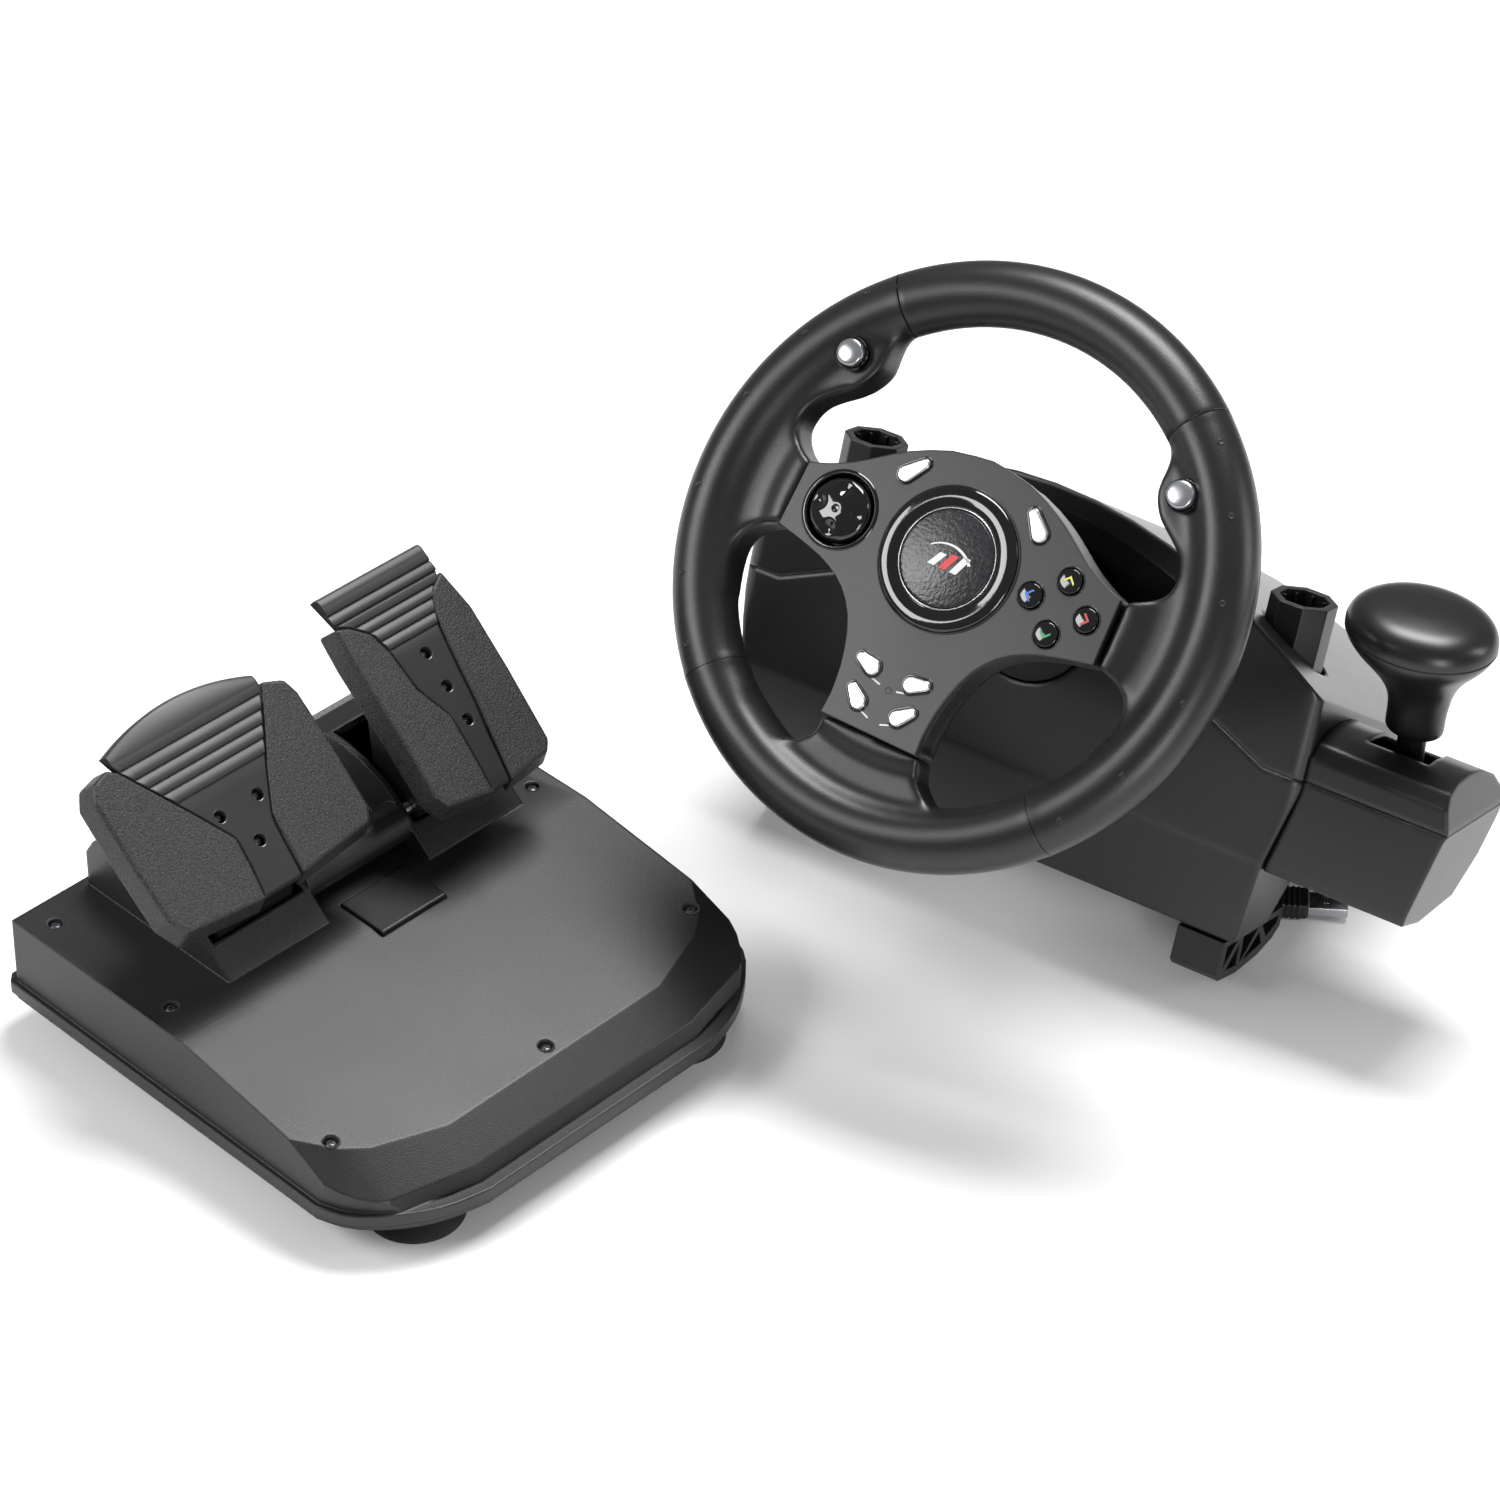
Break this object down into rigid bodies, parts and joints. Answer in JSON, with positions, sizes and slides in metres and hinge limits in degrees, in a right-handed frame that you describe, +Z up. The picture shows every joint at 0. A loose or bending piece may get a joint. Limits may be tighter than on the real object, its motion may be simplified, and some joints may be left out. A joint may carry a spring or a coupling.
{
  "type": "racing wheel with pedals",
  "caption": "Racing wheel controller: tilted steering wheel with thumb buttons on a clamp-on housing with a gear lever, and a separate two-pedal floor unit.",
  "frame": {"origin": "on the floor, under the middle of the outline of the two units together, leaving out the free cable", "axes": "+X to the right and +Y away for the driver at the steering wheel, +Z up"},
  "size_m": [0.5362, 0.6348, 0.3193],
  "materials": {
    "grip": "fine-grained soft-touch plastic",
    "satin": "satin",
    "shell": "satin moulded ABS",
    "gloss": "polished",
    "silver": "silver paint",
    "dark": "grained",
    "rubber": "matt",
    "steel": "bright",
    "board": "solder mask"
  },
  "bodies": {
    "base": {"base_upper_shell": "shell", "base_lower_shell": "shell", "shifter_upper_shell": "shell", "shifter_lower_shell": "shell", "main_board": "board", "rumble_motor_left": "steel", "rumble_motor_right": "steel", "rear_foot": "rubber", "cable_relief": "rubber", "column_bearing": "dark", "pedal_base_top": "shell", "pedal_base_bottom": "shell", "pedal_hatch": "shell", "pedal_shaft": "steel", "brake_spring": "steel", "throttle_spring": "steel", "suction_cup_front_left": "rubber", "suction_cup_front_right": "rubber", "suction_cup_rear_left": "rubber", "suction_cup_rear_right": "rubber", "cable_coil": "rubber", "cable_run": "rubber", "cable_plug": "dark"},
    "steering": {"rim_top_grip": "grip", "rim_right_grip": "grip", "rim_left_grip": "grip", "rim_bottom_grip": "grip", "hub_front_plate": "satin", "hub_rear_shell": "shell", "hub_ring": "gloss", "hub_badge": "satin", "hub_board": "board", "steering_shaft": "steel"},
    "pinion": {"sensor_pinion": "dark"},
    "dpad_post": {"dpad_pivot": "dark"},
    "dpad_cap": {"dpad": "gloss"},
    "shifter": {"gear_lever": "dark", "gear_knob": "satin"},
    "brake": {"brake_pedal": "dark", "brake_spine": "satin"},
    "throttle": {"throttle_pedal": "dark", "throttle_spine": "satin"},
    "button_face_west": {"button_face_west": "gloss"},
    "button_face_north": {"button_face_north": "gloss"},
    "button_face_east": {"button_face_east": "gloss"},
    "button_face_south": {"button_face_south": "gloss"},
    "button_left_bumper": {"button_left_bumper": "silver"},
    "button_right_bumper": {"button_right_bumper": "silver"},
    "button_select": {"button_select": "silver"},
    "button_home": {"button_home": "silver"},
    "button_start": {"button_start": "silver"},
    "button_mode": {"button_mode": "silver"},
    "button_left_thumb": {"button_left_thumb": "silver"},
    "button_right_thumb": {"button_right_thumb": "silver"},
    "screw_left": {"clamp_screw_left": "dark"},
    "jaw_left": {"clamp_jaw_left": "dark"},
    "weight_left": {"rumble_weight_left": "steel"},
    "screw_right": {"clamp_screw_right": "dark"},
    "jaw_right": {"clamp_jaw_right": "dark"},
    "weight_right": {"rumble_weight_right": "steel"}
  },
  "joints": [
    {"name": "steering_turn", "type": "hinge", "parent": "base", "child": "steering", "pos_m": [0.05214, 0.03933, 0.2164], "axis": [0, -0.7373, 0.6756], "range_deg": [-132, 138], "stiffness_Nm_per_rad": 0.3},
    {"name": "pinion_turn", "type": "hinge", "parent": "base", "child": "pinion", "pos_m": [0.08914, 0.14697, 0.11776], "axis": [0, -0.7373, 0.6756], "range_deg": [-420, 420]},
    {"name": "dpad_side_tilt", "type": "hinge", "parent": "steering", "child": "dpad_post", "pos_m": [-0.00448, 0.03845, 0.22137], "axis": [0.0489, 0.6748, 0.7364], "range_deg": [-4, 4], "stiffness_Nm_per_rad": 0.5},
    {"name": "dpad_up_tilt", "type": "hinge", "parent": "dpad_post", "child": "dpad_cap", "pos_m": [-0.00448, 0.03845, 0.22137], "axis": [0.9988, -0.033, -0.036], "range_deg": [-4, 4], "stiffness_Nm_per_rad": 0.5},
    {"name": "button_face_west_press", "type": "slide", "parent": "steering", "child": "button_face_west", "axis": [0, 0.7373, -0.6756], "range_m": [0, 0.0012], "stiffness_N_per_m": 800},
    {"name": "button_face_north_press", "type": "slide", "parent": "steering", "child": "button_face_north", "axis": [0, 0.7373, -0.6756], "range_m": [0, 0.0012], "stiffness_N_per_m": 800},
    {"name": "button_face_east_press", "type": "slide", "parent": "steering", "child": "button_face_east", "axis": [0, 0.7373, -0.6756], "range_m": [0, 0.0012], "stiffness_N_per_m": 800},
    {"name": "button_face_south_press", "type": "slide", "parent": "steering", "child": "button_face_south", "axis": [0, 0.7373, -0.6756], "range_m": [0, 0.0012], "stiffness_N_per_m": 800},
    {"name": "button_left_bumper_press", "type": "slide", "parent": "steering", "child": "button_left_bumper", "axis": [0, 0.7373, -0.6756], "range_m": [0, 0.0012], "stiffness_N_per_m": 800},
    {"name": "button_right_bumper_press", "type": "slide", "parent": "steering", "child": "button_right_bumper", "axis": [0, 0.7373, -0.6756], "range_m": [0, 0.0012], "stiffness_N_per_m": 800},
    {"name": "button_select_press", "type": "slide", "parent": "steering", "child": "button_select", "axis": [0, 0.7373, -0.6756], "range_m": [0, 0.0012], "stiffness_N_per_m": 800},
    {"name": "button_home_press", "type": "slide", "parent": "steering", "child": "button_home", "axis": [0, 0.7373, -0.6756], "range_m": [0, 0.0012], "stiffness_N_per_m": 800},
    {"name": "button_start_press", "type": "slide", "parent": "steering", "child": "button_start", "axis": [0, 0.7373, -0.6756], "range_m": [0, 0.0012], "stiffness_N_per_m": 800},
    {"name": "button_mode_press", "type": "slide", "parent": "steering", "child": "button_mode", "axis": [0, 0.7373, -0.6756], "range_m": [0, 0.0012], "stiffness_N_per_m": 800},
    {"name": "button_left_thumb_press", "type": "slide", "parent": "steering", "child": "button_left_thumb", "axis": [0, 0.7373, -0.6756], "range_m": [0, 0.0012], "stiffness_N_per_m": 800},
    {"name": "button_right_thumb_press", "type": "slide", "parent": "steering", "child": "button_right_thumb", "axis": [0, 0.7373, -0.6756], "range_m": [0, 0.0012], "stiffness_N_per_m": 800},
    {"name": "shifter_tilt", "type": "hinge", "parent": "base", "child": "shifter", "pos_m": [0.22864, 0.1368, 0.0934], "axis": [1, 0, 0], "range_deg": [-7, 7], "stiffness_Nm_per_rad": 0.8},
    {"name": "screw_left_turn", "type": "hinge", "parent": "base", "child": "screw_left", "pos_m": [-0.05986, 0.13462, 0.12155], "axis": [0, 0.3173, 0.9483], "range_deg": [-2190, 290]},
    {"name": "jaw_left_slide", "type": "slide", "parent": "base", "child": "jaw_left", "axis": [0, 0.3173, 0.9483], "range_m": [-0.003, 0.024]},
    {"name": "weight_left_spin", "type": "hinge", "parent": "base", "child": "weight_left", "pos_m": [-0.01506, 0.18799, 0.06362], "axis": [1, 0, 0], "continuous": true},
    {"name": "screw_right_turn", "type": "hinge", "parent": "base", "child": "screw_right", "pos_m": [0.16414, 0.13462, 0.12155], "axis": [0, 0.3173, 0.9483], "range_deg": [-2190, 290]},
    {"name": "jaw_right_slide", "type": "slide", "parent": "base", "child": "jaw_right", "axis": [0, 0.3173, 0.9483], "range_m": [-0.003, 0.024]},
    {"name": "weight_right_spin", "type": "hinge", "parent": "base", "child": "weight_right", "pos_m": [0.11934, 0.18799, 0.06362], "axis": [1, 0, 0], "continuous": true},
    {"name": "brake_press", "type": "hinge", "parent": "base", "child": "brake", "pos_m": [-0.17467, -0.18168, 0.07154], "axis": [-0.1864, -0.9825, 0], "range_deg": [0, 18], "stiffness_Nm_per_rad": 9, "springref_deg": -2.86, "deforming": ["brake_spring"]},
    {"name": "throttle_press", "type": "hinge", "parent": "base", "child": "throttle", "pos_m": [-0.15258, -0.06521, 0.07154], "axis": [-0.1864, -0.9825, 0], "range_deg": [0, 18], "stiffness_Nm_per_rad": 6, "springref_deg": -2.86, "deforming": ["throttle_spring"]}
  ],
  "couplings": [
    {"joint": "pinion_turn", "follows": "steering_turn", "ratio": -3},
    {"joint": "screw_left_turn", "follows": "jaw_left_slide", "rad_per_m": -1570.8},
    {"joint": "screw_right_turn", "follows": "jaw_right_slide", "rad_per_m": -1570.8}
  ]
}
